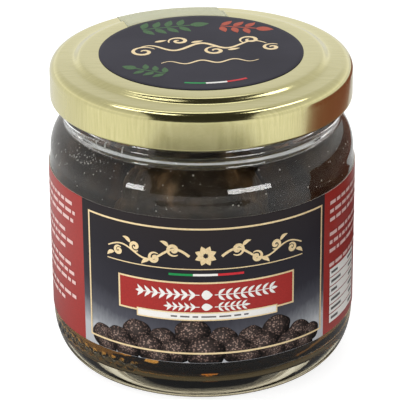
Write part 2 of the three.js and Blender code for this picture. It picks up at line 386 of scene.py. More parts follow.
brineShape = {"level": 56.4, "overlap": 0.04, "meniscus": 0.5, "tint": (0.95, 0.7, 0.2, 1), "density": 55.0}
truffleShape = {
    "wartHeight": 1.3, "wartCount": 62, "fineDetail": 6, "dentCount": 5, "gloss": (0.3, 0.75),
    "shades": [(0.3, (0.008, 0.006, 0.005)), (0.5, (0.026, 0.019, 0.015)), (0.6, (0.07, 0.05, 0.036)),
               (0.72, (0.24, 0.16, 0.1))],
    # size, squash on the three axes and seed of each
    "seeds": {"truffle_1": (15.7, (1, 0.96, 0.98), 11), "truffle_2": (15.5, (0.98, 1, 0.97), 23),
              "truffle_3": (15.4, (1, 0.97, 0.98), 37), "truffle_4": (16.0, (1, 0.98, 0.9), 41),
              "truffle_5": (15.5, (0.98, 1, 0.92), 59), "truffle_6": (15.3, (1, 0.98, 0.9), 67)},
}


def brineSurface(s):
    made = surface("amberBrine", (1, 0.985, 0.96), roughness=0.0, IOR=1.34, Transmission_Weight=1.0,
                   Specular_Tint=(0.05, 0.05, 0.05, 1))
    addBump(made, noiseField(made, objectSpace(made), 90, 1.0), 0.0002, 0.3)
    output = made.node_tree.nodes["Material Output"]
    amber = node(made, "ShaderNodeVolumeAbsorption", Color=s["tint"], Density=s["density"])
    link(made, amber.outputs["Volume"], output.inputs["Volume"])
    return made


def innerRadius(height):
    # the inside of the glass, from the straight wall over the shoulder to the mouth
    s = jarShape
    centre = s["shoulder"] - s["shoulderCurve"]
    across = s["body"] - s["wall"] - centre
    above = max(0, height - s["shoulderStart"]) / s["innerRise"]
    end = math.radians(s["innerEnd"])
    if above < math.sin(end):
        return centre + across * math.sqrt(1 - above * above)
    endRadius = centre + across * math.cos(end)
    endHeight = s["shoulderStart"] + s["innerRise"] * math.sin(end)
    share = min(1, (height - endHeight) / (s["mouthFoot"] - endHeight))
    return endRadius + (s["mouth"] - endRadius) * share


def makeBrine(s):
    j = jarShape
    inner = j["body"] - j["wall"] + s["overlap"]  # a hair into the glass, so that no air shows between
    centre = j["shoulder"] - j["shoulderCurve"]
    edge = arcPoints(centre, j["shoulderStart"], inner - centre, j["innerRise"], 0, j["innerEnd"], 8)
    edge = [point for point in edge if point[1] < s["level"] - 0.2]
    wallRadius = innerRadius(s["level"]) + s["overlap"]
    edge.append((wallRadius, s["level"]))
    corner, rise, foot = j["floorCorner"], j["floorRise"], j["floor"] - s["overlap"]
    still = s["level"] - s["meniscus"]
    profile = [
        (0, foot + 1.1), (12, foot + 0.9),
        *arcPoints(inner - corner, foot + rise, corner, rise, -90, -10, 10),
        (inner, j["heel"] + 2.5), (inner, 30), *edge,
        (wallRadius - 0.3, s["level"] - 0.45 * s["meniscus"]), (wallRadius - 1.4, still),
        (wallRadius - 4, still - 0.1), (0, still - 0.1),
    ]
    return turnedPiece("brineLiquid", profile, [brineSurface(s)])


def seededRandom(seed):
    state = seed

    def draw():
        nonlocal state
        state = (state + 0x6d2b79f5) & 0xffffffff
        mixed = ((state ^ (state >> 15)) * (1 | state)) & 0xffffffff
        mixed = ((mixed + (((mixed ^ (mixed >> 7)) * (61 | mixed)) & 0xffffffff)) & 0xffffffff) ^ mixed
        return ((mixed ^ (mixed >> 14)) & 0xffffffff) / 4294967296
    return draw


def spreadDirections(count, jitter, draw):
    golden = math.pi * (3 - math.sqrt(5))
    directions = []
    for i in range(count):
        z = 1 - 2 * (i + 0.5) / count
        across = math.sqrt(1 - z * z)
        x = across * math.cos(golden * i) + (draw() - 0.5) * jitter
        y = across * math.sin(golden * i) + (draw() - 0.5) * jitter
        directions.append(Vector((x, y, z + (draw() - 0.5) * jitter)).normalized())
    return directions


def truffleSurface(s):
    made = surface("truffleSkin", s["shades"][1][1], roughness=0.5, Specular_IOR_Level=0.3)
    space = objectSpace(made)
    colorBy(made, noiseField(made, space, 120, 4), s["shades"])
    fine = noiseField(made, space, 900, 6, 0.65)
    link(made, spread(made, fine, target=s["gloss"]), shaderSocket(made, "Roughness"))
    addBump(made, fine, 0.00015, 0.6)
    return made


def roundBall(detail, radius):
    ball = bmesh.new()
    bmesh.ops.create_icosphere(ball, subdivisions=detail, radius=radius)
    points = np.array([vertex.co[:] for vertex in ball.verts])
    faces = np.array([[vertex.index for vertex in face.verts] for face in ball.faces])
    ball.free()
    return points, faces


def makeTruffle(nodeName, settings, skin):
    size, squash, seed = settings
    draw = seededRandom(seed)
    dents = []
    for direction in spreadDirections(truffleShape["dentCount"], 0.9, draw):
        depth = size * (0.06 + 0.07 * draw())
        dents.append((direction, depth, 0.45 + 0.25 * draw()))
    warts = np.array(spreadDirections(truffleShape["wartCount"], 0.16, draw))
    points, faces = roundBall(truffleShape["fineDetail"], 1)
    points /= np.linalg.norm(points, axis=1)[:, None]
    away = np.arccos(np.clip(points @ warts.T, -1, 1))
    away.sort(axis=1)
    reach = 2.1 / math.sqrt(truffleShape["wartCount"])
    height = np.clip(1 - away[:, 0] / reach, 0, 1)
    edge = np.clip((away[:, 1] - away[:, 0]) / 0.07, 0, 1)  # a narrow groove between two warts
    wart = truffleShape["wartHeight"]
    reachOut = size - wart + wart * (height * (0.55 + 0.45 * edge))
    for direction, depth, width in dents:
        turn = np.arccos(np.clip(points @ np.array(direction), -1, 1)) / width
        reachOut -= depth * np.exp(-turn * turn)
    points *= reachOut[:, None] * np.array(squash)[None, :] * mm
    low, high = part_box(nodeName)
    centre = (Vector(low) + Vector(high)) / 2
    points += np.array(centre) - (points.min(axis=0) + points.max(axis=0)) / 2
    name = "dark" + nodeName.title().replace("_", "")
    return place(addPiece(name, points.tolist(), faces.tolist(), [skin]), "jar", "truffle_skin", nodeName)


bubbleShape = {
    "count": 650, "froth": 420, "smallest": 0.04, "largest": 0.22, "lowest": 47.3,
    "frothTurns": (198, 236), "frothHeights": (53.3, 59.5), "seed": 5,
    # the whitish shades of the bubbles are painted glints
    "shades": [(0.0, (0.7, 0.68, 0.62)), (1.0, (0.95, 0.95, 0.93))],
}


def makeBubbles(s):
    # small air bubbles that cling to the glass, with a patch of froth at the left of the neck; they are
    # coloured whitish, a painted glint, so that they show as bright specks
    rng = random.Random(s["seed"])
    ballPoints, ballFaces = roundBall(2, mm)
    points, faces = [], []
    for number in range(s["count"] + s["froth"]):
        size = s["smallest"] + (s["largest"] - s["smallest"]) * rng.random() ** 5
        if number < s["count"]:
            turn, height = rng.uniform(0, 360), rng.uniform(s["lowest"], brineShape["level"] - 0.3)
        else:
            low, high = s["frothHeights"]
            turn = rng.triangular(*s["frothTurns"])
            height = low + (high - low) * rng.random() ** 1.5
        radius = innerRadius(height) - size * 0.9
        faces.append(ballFaces + len(ballPoints) * number)
        points.append(ballPoints * size + np.array(roundPoint(radius, math.radians(turn), height)))
    # painted glints: the bubbles are whitish and half opaque instead of clear
    made = surface("bubbleGlintSkin", (0.9, 0.9, 0.88), roughness=0.1, IOR=1.2, Transmission_Weight=0.45)
    colorBy(made, noiseField(made, objectSpace(made), 900), s["shades"])
    return addPiece("wallBubbles", np.concatenate(points).tolist(), np.concatenate(faces).tolist(), [made])


place(makeBrine(brineShape), "jar", "brine", "brine")
place(makeBubbles(bubbleShape), "jar", "brine")
truffleSkin = truffleSurface(truffleShape)
for truffleName, truffleSettings in truffleShape["seeds"].items():
    makeTruffle(truffleName, truffleSettings, truffleSkin)
print("brine and truffles made")


# Flat inks and foils: shapes in mm on a flat sheet, laid on the label or on the sticker

def strokeShape(path, width):
    # width(share) along the path, share from 0 to 1
    points = []
    for i, (x, y) in enumerate(path):
        dx, dy = heading(path, i)
        half = width(i / (len(path) - 1)) / 2
        points += [(x - dy * half, y + dx * half), (x + dy * half, y - dx * half)]
    return points, ribbonFaces(len(path))


def swelling(thin, more):
    return lambda share: thin + more * math.sin(math.pi * share)


def barShape(x0, y0, x1, y1, step=1.5):
    count = max(1, math.ceil(abs(x1 - x0) / step))
    path = [(x0 + (x1 - x0) * i / count, (y0 + y1) / 2) for i in range(count + 1)]
    return strokeShape(path, lambda share: abs(y1 - y0))


def frameShapes(box, line):
    x0, y0, x1, y1 = box
    return [barShape(x0, y0, x1, y0 + line), barShape(x0, y1 - line, x1, y1),
            barShape(x0, y0 + line, x0 + line, y1 - line), barShape(x1 - line, y0 + line, x1, y1 - line)]


def lumpShape(x, y, across, up, wobble, draw):
    rings, sides = 8, 40
    bumps = [draw() for _ in range(6)]
    points, faces = [(x, y)], []
    for ring in range(1, rings + 1):
        for side in range(sides):
            turn = 2 * math.pi * side / sides
            edge = 1 + wobble * sum((b - 0.5) * math.cos((k + 2) * turn + 6 * b) for k, b in enumerate(bumps))
            points.append((x + across * ring / rings * edge * math.cos(turn),
                           y + up * ring / rings * edge * math.sin(turn)))
    for side in range(sides):
        nextSide = (side + 1) % sides
        faces.append([0, 1 + side, 1 + nextSide])
        for ring in range(rings - 1):
            a = 1 + ring * sides
            faces.append([a + side, a + sides + side, a + sides + nextSide, a + nextSide])
    return points, faces


def leafShape(base, tip, width, bend=0.0):
    steps = 14
    dx, dy = tip[0] - base[0], tip[1] - base[1]
    path = []
    for i in range(steps + 1):
        share = i / steps
        bow = bend * math.sin(math.pi * share)
        path.append((base[0] + dx * share - dy * bow, base[1] + dy * share + dx * bow))
    return strokeShape(path, lambda share: max(0.05, width * math.sin(math.pi * min(1, share ** 0.8)) ** 0.9))


def spiral(x, y, size, turns, start, hand):
    path = []
    steps = int(26 * turns)
    for i in range(steps + 1):
        share = i / steps
        reach = size * (1 - 0.86 * share)
        angle = start + hand * 2 * math.pi * turns * share
        path.append(offset((x, y), reach, angle))
    return path


def layShapes(name, shapes, toSpace, material, lift, step):
    # each shape lies a step above the one before it
    points, faces, spots = [], [], []
    for number, (flat, shapeFaces) in enumerate(shapes):
        start = len(points)
        middle = np.array(flat).mean(axis=0)
        span = np.abs(np.array(flat) - middle).max(axis=0).clip(0.01)
        points += [toSpace(x, y, lift + step * number) for x, y in flat]
        spots += [((x - middle[0]) / span[0] * 0.5 + 0.5 + 3 * number, (y - middle[1]) / span[1] * 0.5 + 0.5)
                  for x, y in flat]
        faces += [[start + corner for corner in face] for face in shapeFaces]
    piece = addPiece(name, points, faces, [material])
    layer = piece.data.uv_layers.new(name="spot")
    corners = np.zeros(len(piece.data.loops), dtype=int)
    piece.data.loops.foreach_get("vertex_index", corners)
    layer.data.foreach_set("uv", np.array(spots)[corners].ravel())
    shape = bmesh.new()
    shape.from_mesh(piece.data)
    outward = toSpace(0, 0, 1) - toSpace(0, 0, 0)
    upright = abs(outward.z) < 0.5 * outward.length
    for face in shape.faces:
        middle = face.calc_center_median()
        away = Vector((middle.x, middle.y, 0)) if upright else Vector((0, 0, 1))
        if face.normal.dot(away) < 0:
            face.normal_flip()
    shape.to_mesh(piece.data)
    shape.free()
    return piece


# Wrap label

labelLow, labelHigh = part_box("wrap_label")
labelShape = {  # in metres and degrees
    "radius": -labelLow[1], "bottom": labelLow[2], "top": labelHigh[2], "lift": 0.00005, "inset": 0.00006,
    "frontEdges": (-49.2, 50.6), "redEdges": (-104, 104), "gapStart": 161.25, "bevel": 0.0002,
    "paper": 0.00008, "black": (0.012, 0.011, 0.015), "red": (0.34, 0.024, 0.019),
    # the paper's back has a painted glow: light of its own that stands in for daylight coming through the
    # paper
    "back": (0.8, 0.78, 0.72), "paintedBackGlowColor": (1, 0.93, 0.8, 1), "paintedBackGlow": 0.3,
    # the front print by height, grey at the foot and near black above; the corners are paler
    "frontShades": [
        (0.0, (0.44, 0.45, 0.47)), (0.07, (0.24, 0.25, 0.27)), (0.18, (0.075, 0.076, 0.093)),
        (0.32, (0.032, 0.031, 0.041)), (0.6, (0.022, 0.020, 0.026)), (1.0, (0.028, 0.022, 0.022))],
    "cornerFall": -7.0, "speckle": 0.07,
}
labelRadius = labelShape["radius"] + labelShape["lift"]


def onLabel(x, y, lift):
    # x runs round the front in mm from the label's middle, y is the height in mm
    radius = labelRadius + (0.02 + lift) * mm
    turn = x * mm / labelShape["radius"]
    return Vector((radius * math.sin(turn), -radius * math.cos(turn), y * mm))


def arcMm(degrees):
    return math.radians(degrees) * labelShape["radius"] / mm


def paperFinish(made, grain=0.00002):
    space = objectSpace(made)
    fibre = noiseField(made, space, 2600, 4, 0.6)
    addBump(made, fibre, grain, 0.5)
    return fibre


def inkSurface(name, color, roughness=0.42, mottle=0.12, shine=0.2, **sockets):
    made = surface(name, color, roughness=roughness, Specular_IOR_Level=shine, **sockets)
    fibre = paperFinish(made)
    dark = tuple(part * (1 - mottle) for part in color)
    light = tuple(min(1, part * (1 + mottle)) for part in color)
    colorBy(made, fibre, [(0.3, dark), (0.7, light)])
    return made


def frontSurface(s):
    made = surface("frontPrint", s["black"], roughness=0.42, Specular_IOR_Level=0.12)
    x, _, z = axes(made, plainSpace(made))
    height = spread(made, z, (s["bottom"], s["top"]))
    lower = maths(made, "MULTIPLY_ADD", maths(made, "ABSOLUTE", x), s["cornerFall"], height)
    grain = noiseField(made, objectSpace(made, (1, 1, 0.35)), 1500, 3)
    colorBy(made, maths(made, "MULTIPLY_ADD", grain, s["speckle"], lower), s["frontShades"])
    paperFinish(made)
    return made


def makeLabel(s):
    left, right = s["frontEdges"]
    redLeft, redRight = s["redEdges"]
    end = s["gapStart"]
    stops = sorted({-end, redLeft, left, right, redRight, end})
    columns = []
    for start, stop in zip(stops, stops[1:]):
        count = max(2, math.ceil((stop - start) / 1.5))
        columns += [start + (stop - start) * i / count for i in range(count)]
    columns.append(end)
    red, black = inkSurface("redPanel", s["red"], 0.34, shine=0.35), inkSurface("blackPanel", s["black"])
    # painted glow: the plain back of the paper gives off light of its own
    back = inkSurface("labelBack", s["back"], mottle=0.05, Emission_Color=s["paintedBackGlowColor"],
                      Emission_Strength=s["paintedBackGlow"])  # daylight comes through the paper
    bottom, top, bevel = s["bottom"], s["top"], s["bevel"]
    points, slots = [], []
    for degrees in columns:
        turn = math.radians(degrees)
        for height in (bottom, bottom + bevel, top - bevel, top):
            radius = labelRadius - (s["inset"] if height in (bottom, top) else 0)
            points.append((radius * math.sin(turn), -radius * math.cos(turn), height))
    for i in range(len(columns) - 1):
        middle = (columns[i] + columns[i + 1]) / 2
        slots += [0 if left < middle < right else 1 if redLeft < middle < redRight else 2] * 3
    papers = [frontSurface(s), red, black, back, back, back]
    piece = addPiece("wrapPaper", points, gridFaces(len(columns), 4), papers, slots)
    thick = piece.modifiers.new("paper", "SOLIDIFY")
    thick.thickness = s["paper"]
    thick.offset = -1
    thick.material_offset = 3  # plain paper on the side that faces the glass
    thick.material_offset_rim = 3
    return piece


place(makeLabel(labelShape), "jar", "label_paper", "wrap_label")


# Print on the label

labelArt = {  # a box is its left and right edge in degrees round the front, then its heights in mm
    "seed": 7, "middle": 1.1, "frame": (-45.8, 49.0, 13.8, 45.1), "frameLine": 0.44,
    "plate": (-32, 35, 23.6, 31.9), "plateLine": 0.42, "strip": (-24.6, 27.9, 22.3, 24.4), "stripLine": 0.3,
    "flag": (-12.3, -3.5, 5.4, 14.9), "flagHeight": 33.7, "flagLine": 0.55,
    "scrollHeight": 38.4, "petals": 8, "curls": [(7.2, 1), (11.6, -1), (16.2, 1), (20.4, -1)],
    "rule": (23.4, 34.95, 35.2), "dashHeights": (23.12, 23.5),
    "garlands": [(28.75, 15.2, 2.35, 1.25), (25.75, 8.6, 1.85, 0.95)],  # height, reach, leaf, width
    "rowBlocks": [(-101.0, -53.5, 11), (54.0, 88.0, 7)], "rowTop": 44.2, "rowStep": 2.1, "blockStep": 3.6,
    "table": (54.5, 78, 13.6, 27.6), "tableRows": 6,
}
inkColors = {  # colour and how much it mottles
    "plateRed": ((0.36, 0.022, 0.018), 0.12), "paperWhite": ((0.82, 0.8, 0.76), 0.04),
    "printPale": ((0.75, 0.5, 0.47), 0.06), "printGrey": ((0.13, 0.12, 0.12), 0.12),
    "flagGreen": ((0.01, 0.27, 0.07), 0.12), "flagRed": ((0.6, 0.02, 0.03), 0.12),
    "leafGreen": ((0.05, 0.13, 0.045), 0.3), "leafRed": ((0.42, 0.07, 0.035), 0.25),
}
foilShades = [(0.3, (0.82, 0.6, 0.3)), (0.7, (0.98, 0.8, 0.5))]


def foilSurface():
    made = surface("goldFoil", (0.9, 0.7, 0.38), roughness=0.32, metallic=0.3)
    colorBy(made, paperFinish(made, 0.00001), foilShades)
    return made


goldFoil = foilSurface()
inks = {name: inkSurface(name, color, mottle=mottle) for name, (color, mottle) in inkColors.items()}
stripeInks = {"Green": inks["flagGreen"], "White": inks["paperWhite"], "Red": inks["flagRed"]}


def inkOnLabel(name, shapes, material, lift, step=0.0002):
    return place(layShapes(name, shapes, onLabel, material, lift, step), "jar", "label_paper")


def mirrored(shape, middle):
    points, faces = shape
    return [(2 * middle - x, y) for x, y in points], faces


def labelOrnament(art):
    # a plain scroll on each side of a small flower
    middle, y = arcMm(art["middle"]), art["scrollHeight"]
    shapes = []
    for petal in range(art["petals"]):
        turn = (2 * petal + 1) * math.pi / art["petals"]
        shapes.append(leafShape(offset((middle, y), 0.5, turn), offset((middle, y), 2.5, turn), 1.35))
    wave = []
    for i in range(61):
        wave.append((middle + 3.6 + 19.5 * i / 60,
                     y - 0.2 + 1.7 * math.sin(2 * math.pi * i / 40) * (1 - 0.35 * i / 60)))
    half = [strokeShape(wave, lambda share: 0.65 - 0.35 * share)]
    for step, (along, hand) in enumerate(art["curls"]):
        cx, cy = middle + along, y + hand * (1.25 - 0.15 * step)
        curl = spiral(cx, cy, 1.55 - 0.15 * step, 1.4, -hand * 2.3, hand)
        half.append(strokeShape(curl, swelling(0.22, 0.6)))
        half.append(leafShape((cx + 1.1, cy + hand * 0.7), (cx + 3.0, cy + hand * 1.9), 0.9, 0.15))
    shapes += half + [mirrored(shape, middle) for shape in half]
    reach, low, high = art["rule"]
    shapes.append(barShape(middle - reach, low, middle + reach, high))
    return shapes


def garland(middle, y, reach, leaf, width):
    # pairs of small leaves on a fine stem, meeting at a lozenge
    shapes = [leafShape((middle - 1.25, y), (middle + 1.25, y), 1.9 * width)]
    for hand in (-1, 1):
        stem = [(middle + hand * (1.7 + (reach - 1.7) * i / 20), y) for i in range(21)]
        shapes.append(strokeShape(stem, lambda share: 0.2))
        along = 2.6
        while along < reach - 0.6:
            x = middle + hand * along
            for side in (-1, 1):
                tip = (x + hand * 0.62 * leaf, y + side * 0.6 * leaf)
                shapes.append(leafShape((x, y), tip, 0.55 * width, 0.1 * side))
            along += 0.72 * leaf
        end = middle + hand * reach
        shapes.append(leafShape((end - hand * 0.4, y), (end + hand * 1.2, y), 0.6 * width))
    return shapes


def boxOf(edges):
    left, right, low, high = edges
    return arcMm(left), low, arcMm(right), high


heapShape = {
    "lumps": [  # along, height and half width in mm, from the back of the heap to the front
        (-15.4, 17.9, 3.6), (-9.2, 17.0, 3.3), (-2.4, 19.0, 4.1), (4.4, 17.4, 3.4), (11.0, 17.2, 3.2),
        (17.2, 18.2, 3.7), (-24.6, 14.6, 3.3), (-20.2, 15.2, 3.4), (23.2, 15.6, 3.3), (27.0, 14.4, 2.6),
        (-12.4, 14.4, 3.6), (-6.2, 14.2, 3.5), (7.6, 14.5, 3.6), (14.2, 14.6, 3.7), (0.6, 13.9, 4.5),
        (20.6, 13.6, 3.4), (-17.8, 12.9, 3.1), (-23.4, 12.4, 2.7), (-10.0, 12.2, 2.7), (10.6, 12.2, 2.9),
        (25.2, 12.4, 2.6), (17.0, 12.1, 2.6)],
    "squash": 0.92, "wobble": 0.05, "foot": 11.62, "lift": 0.002, "light": (0.42, 0.64, 0), "cells": 15.0,
    "dots": [(0.0, (1, 1, 1)), (0.2, (0.8, 0.74, 0.66)), (0.36, (0.2, 0.18, 0.18)),
             (0.6, (0.05, 0.05, 0.05))],
    "shade": [(0.0, (0.62, 0.46, 0.4)), (0.26, (0.33, 0.23, 0.2)), (0.44, (0.1, 0.066, 0.058)),
              (0.58, (0.014, 0.009, 0.009))],
}


def heapSurface(s):
    made = surface("printedHeapInk", (0.03, 0.02, 0.018), roughness=0.42, Specular_IOR_Level=0.12)
    spot = node(made, "ShaderNodeUVMap", uv_map="spot").outputs["UV"]
    x, y, _ = axes(made, spot)
    local = node(made, "ShaderNodeCombineXYZ")
    link(made, maths(made, "FRACT", x), local.inputs["X"])  # each lump has its own unit square
    link(made, y, local.inputs["Y"])
    away = node(made, "ShaderNodeVectorMath", operation="DISTANCE")
    away.inputs[1].default_value = s["light"]  # lit from the upper left
    link(made, local.outputs[0], away.inputs[0])
    cells = node(made, "ShaderNodeTexVoronoi", Scale=s["cells"])
    link(made, spot, cells.inputs["Vector"])
    both = node(made, "ShaderNodeMix", data_type="RGBA", blend_type="MULTIPLY")
    both.inputs["Factor"].default_value = 0.95
    link(made, ramp(made, away.outputs["Value"], s["shade"]), both.inputs["A"])
    link(made, ramp(made, cells.outputs["Distance"], s["dots"]), both.inputs["B"])
    link(made, both.outputs["Result"], shaderSocket(made, "Base Color"))
    paperFinish(made)
    return made


def printHeap(s, draw):
    heap = []
    for x, y, size in s["lumps"]:
        flat, faces = lumpShape(x, y, size, size * s["squash"], s["wobble"], draw)
        heap.append(([(px, max(py, s["foot"])) for px, py in flat], faces))
    inkOnLabel("printedHeap", heap, heapSurface(s), 0, s["lift"])


def makeLabelPrint(art):
    draw = random.Random(art["seed"]).random
    printHeap(heapShape, draw)
    plate, strip = boxOf(art["plate"]), boxOf(art["strip"])
    inkOnLabel("titlePlate", [barShape(*plate)], inks["plateRed"], 0.04)
    inkOnLabel("titleStrip", [barShape(*strip)], inks["paperWhite"], 0.07)
    foil = frameShapes(boxOf(art["frame"]), art["frameLine"]) + frameShapes(plate, art["plateLine"])
    inkOnLabel("goldLines", foil + labelOrnament(art), goldFoil, 0.055)
    inkOnLabel("stripBorder", frameShapes(strip, art["stripLine"]), goldFoil, 0.085)
    edges = [arcMm(edge) for edge in art["flag"]]
    low, high = art["flagHeight"] - art["flagLine"] / 2, art["flagHeight"] + art["flagLine"] / 2
    for (name, ink), left, right in zip(stripeInks.items(), edges, edges[1:]):
        inkOnLabel("stripe" + name, [barShape(left, low, right, high)], ink, 0.03)
    marks = []
    for row in art["garlands"]:
        marks += garland((plate[0] + plate[2]) / 2, *row)
    inkOnLabel("plateOrnament", marks, inks["paperWhite"], 0.06)
    dashes = []
    dashLow, dashHigh = art["dashHeights"]
    x = strip[0] + 8
    while x < strip[2] - 8:
        long = 1.2 + 2.4 * draw()
        dashes.append(barShape(x, dashLow, min(x + long, strip[2] - 7), dashHigh))
        x += long + 0.7
    inkOnLabel("stripDashes", dashes, inks["printGrey"], 0.09)
    makeSideRows(art, draw)


def makeSideRows(art, draw):
    # rows of plain bars, even at the left and ragged at the right
    rows = []
    for start, end, count in art["rowBlocks"]:
        y = art["rowTop"]
        for row in range(count):
            x, stop = arcMm(start), arcMm(end) - 7 * draw() ** 2
            while x < stop - 0.6:
                right = min(x + 0.9 + 2.6 * draw(), stop)
                rows.append(barShape(x, y - 0.45, right, y + 0.45))
                x = right + 0.55
            y -= art["rowStep"] if (row + 1) % 3 else art["blockStep"]
    inkOnLabel("sideRows", rows, inks["printPale"], 0.03)
    x0, y0, x1, y1 = boxOf(art["table"])
    boxes, lines = [], []
    high = (y1 - y0) / art["tableRows"]
    for row in range(art["tableRows"]):
        low = y0 + row * high
        boxes.append(barShape(x0, low + 0.12, x1, low + high - 0.12))
        lines.append(barShape(x0 + 0.7, low + 0.85, x0 + 3.4 + 3 * draw(), low + 1.5))
        lines.append(barShape(x1 - 3.6 - 1.5 * draw(), low + 0.85, x1 - 0.8, low + 1.5))
    inkOnLabel("tableBoxes", boxes, inks["paperWhite"], 0.03)
    inkOnLabel("tableBars", lines, inks["printGrey"], 0.05)


makeLabelPrint(labelArt)
print("label printed")


# Lid, its lugs, sticker and seal strip

lidShape = {  # in mm and degrees
    "seat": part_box("lid_shell")[0][2] / mm, "radius": 34.7, "plate": 0.22, "panelHeight": 10.15,
    "ringHeight": 9.05, "corner": 2.2, "fall": 0.12, "panel": 27.6, "stepFoot": 29.6, "hem": 0.8,
    "hemTurn": 250, "lug": 31.95, "lugStart": 2, "lugSweep": 12, "lugSteps": 8, "lugGap": 0.25,
    "paste": (0.72, 0.64, 0.47),  # the sealing ring
    "gold": [(0.3, (0.69, 0.635, 0.3)), (0.7, (0.79, 0.73, 0.38))], "gloss": (0.1, 0.17),
    "skirtDull": 0.13, "skirtTop": (0.0685, 0.0705),
}


def lidOutside(s):
    panel, ring = s["seat"] + s["panelHeight"], s["seat"] + s["ringHeight"]
    bend, fall = s["corner"], s["fall"]
    edge = s["radius"] - bend
    return [
        (0, panel), (20, panel), (s["panel"] - 0.3, panel), (s["panel"] + 0.4, panel - 0.14),
        (s["stepFoot"] - 0.5, ring + 0.14), (s["stepFoot"] + 0.2, ring), (edge - 0.6, ring - fall * 0.8),
        *arcPoints(edge, ring - bend - fall, bend, bend, 90, 0, 14),
    ]


def lidProfile(s):
    seat, plate, bend, hem = s["seat"], s["plate"], s["corner"], s["hem"]
    panel, ring = seat + s["panelHeight"] - plate, seat + s["ringHeight"]
    inside = [
        (s["radius"] - plate, ring - bend),
        *arcPoints(s["radius"] - bend, ring - bend, bend - plate, bend - plate, 0, 90, 10)[1:],
        (s["stepFoot"] - 0.1, ring - plate), (s["stepFoot"] - 0.75, ring + 0.2 - plate),
        (s["panel"] + 0.4, panel - 0.16), (s["panel"] - 0.5, panel), (0, panel),
    ]
    hemOut = arcPoints(s["radius"] - hem, seat + hem, hem, hem, 0, -s["hemTurn"], 20)
    hemIn = arcPoints(s["radius"] - hem, seat + hem, hem - plate, hem - plate, -s["hemTurn"], 0, 16)
    return softened(lidOutside(s), 2) + hemOut + hemIn + inside


def lidSurface(s):
    made = surface("goldLacquer", s["gold"][0][1], roughness=0.24, metallic=1.0, Coat_Weight=0.5,
                   Coat_Roughness=0.05)
    grain = noiseField(made, objectSpace(made, (0.35, 9, 0.35)), 420, 4, 0.6)  # straight rolled grain
    space = objectSpace(made)
    colorBy(made, grain, s["gold"])
    gloss = spread(made, noiseField(made, space, 45, 3), target=s["gloss"])
    # the rolled side is duller than the pressed top
    dull = spread(made, axes(made, space)[2], s["skirtTop"], (s["skirtDull"], 0))
    link(made, maths(made, "ADD", gloss, dull), shaderSocket(made, "Roughness"))
    addBump(made, grain, 0.00001, 0.35)
    return made


def makeLugs(s, made):
    points, faces = [], []
    steps = s["lugSteps"]
    root, low = s["radius"] - s["hem"] - 0.35, s["seat"] + 0.3
    for number in range(jarShape["threadCount"]):
        base = len(points)
        for step in range(steps + 1):
            along = s["lugStart"] + s["lugSweep"] * step / steps
            turn = math.radians(number * 360 / jarShape["threadCount"] + along)
            ends = min(1, 3 * step / steps, 3 * (1 - step / steps))
            tip = s["lug"] + 0.9 * (1 - ends)
            ridge = jarShape["threadLow"] + jarShape["threadRise"] * along / jarShape["threadSweep"]
            top = ridge - s["lugGap"]
            for radius, height in ((root, low), (tip + 0.3, low + 0.1), (tip, low + 0.4), (tip, top - 0.2),
                                   (tip + 0.3, top), (root, top)):
                points.append(roundPoint(radius, turn, height))
        for step in range(steps):
            for side in range(6):
                a = base + 6 * step + side
                b = base + 6 * step + (side + 1) % 6
                faces.append([a, b, b + 6, a + 6])
        faces.append(list(range(base, base + 6)))
        faces.append(list(range(base + 6 * steps, base + 6 * steps + 6)))
    piece = addPiece("lidLugs", points, faces, [made])
    faceOutwards(piece)
    return piece


goldLacquer = lidSurface(lidShape)
lidPiece = turnedPiece("goldLid", lidProfile(lidShape), [goldLacquer])
place(lidPiece, "lid", "lid_lacquer", "lid_shell")
place(makeLugs(lidShape, goldLacquer), "lid", "lid_lacquer")

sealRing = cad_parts["sealing_ring"]
sealPaste = inkSurface("sealPaste", lidShape["paste"], roughness=0.55)
sealRing.data.materials.clear()
sealRing.data.materials.append(sealPaste)

stickerLow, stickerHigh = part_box("lid_sticker")
stickerShape = {
    "radius": stickerHigh[0] / mm, "low": stickerLow[2] / mm, "top": stickerHigh[2] / mm,
    "black": [(0.3, (0.028, 0.026, 0.038)), (0.7, (0.042, 0.04, 0.055))],
    # sprigs: x, y, heading, pairs, leaf length, leaf width
    "greenSprigs": [(-13.8, 14.2, 14, 4, 4.6, 2.9), (-8.0, -13.6, 155, 3, 3.6, 2.4)],
    "redSprigs": [(4.6, 16.4, -12, 3, 4.2, 2.8)],
    # waves: first x, length, y at x = 0, slope, height, period and number of steps
    "wave": (-15, 30, 3.2, 0.12, 1.9, 32, 80), "lowWave": (-9, 22, -6.6, 0.1, 0.9, 20, 60),
    # curls: x, y, size, start and hand
    "curls": [(-13.2, -0.2, 3.1, 0.6, 1), (-5.2, 6.6, 2.4, 3.6, -1), (3.2, 0.4, 2.6, 1.2, 1),
              (11.2, 7.2, 2.4, 4.0, -1), (16.2, 2.4, 2.2, 0.9, 1)],
    "leaves": [(-9.4, 6.4), (-1.0, 6.0), (7.4, 1.2)], "stripe": (19.6, 0.8, -101, 14),
}


def stickerSurface(s):
    made = surface("stickerInk", s["black"][0][1], roughness=0.5, Specular_IOR_Level=0.12)
    paperFinish(made)
    colorBy(made, noiseField(made, objectSpace(made), 60, 3), s["black"])
    return made


def makeSticker(s):
    r, low, top = s["radius"], s["low"], s["top"]
    profile = [(0, low), (r, low), (r, top - 0.03), (r - 0.04, top), (r - 1, top), (0, top)]
    return turnedPiece("roundSticker", profile, [stickerSurface(s)])


def onSticker(x, y, lift):
    return Vector((x * mm, y * mm, (stickerShape["top"] + 0.015 + lift) * mm))


def inkOnSticker(name, shapes, material, lift=0.0):
    return place(layShapes(name, shapes, onSticker, material, lift, 0.0008), "lid", "sticker_paper")


